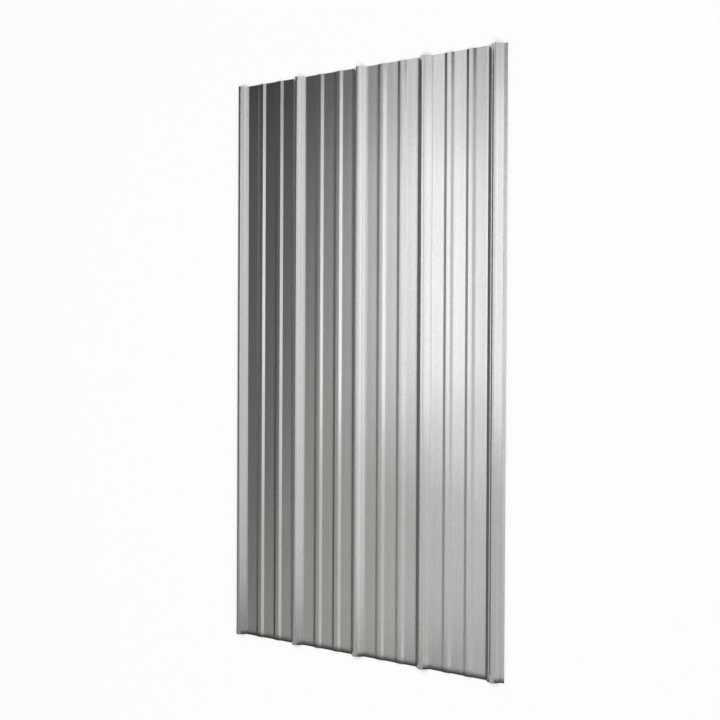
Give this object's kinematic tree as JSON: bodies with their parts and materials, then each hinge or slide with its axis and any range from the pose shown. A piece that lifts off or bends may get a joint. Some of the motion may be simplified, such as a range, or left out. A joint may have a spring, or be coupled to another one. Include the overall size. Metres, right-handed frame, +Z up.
{
  "type": "corrugated metal sheet",
  "caption": "Flat-lying trapezoidal ribbed roofing and siding sheet of bare coated steel, with low stiffening ribs in its pans and side-lap ribs along both long edges.",
  "frame": {"origin": "centre of the sheet in plan, on the plane of the undersides of its pans", "axes": "+X across the ribs from the overlap edge to the underlap edge, +Y along the ribs, +Z up out of the ribbed face"},
  "size_m": [0.9646, 1.8288, 0.0194],
  "materials": {
    "coated_steel": "bare zinc-coated steel, satin, with a fine spangle and faint rolling streaks"
  },
  "bodies": {
    "root": {"ribbed_sheet": "coated_steel"}
  },
  "joints": []
}
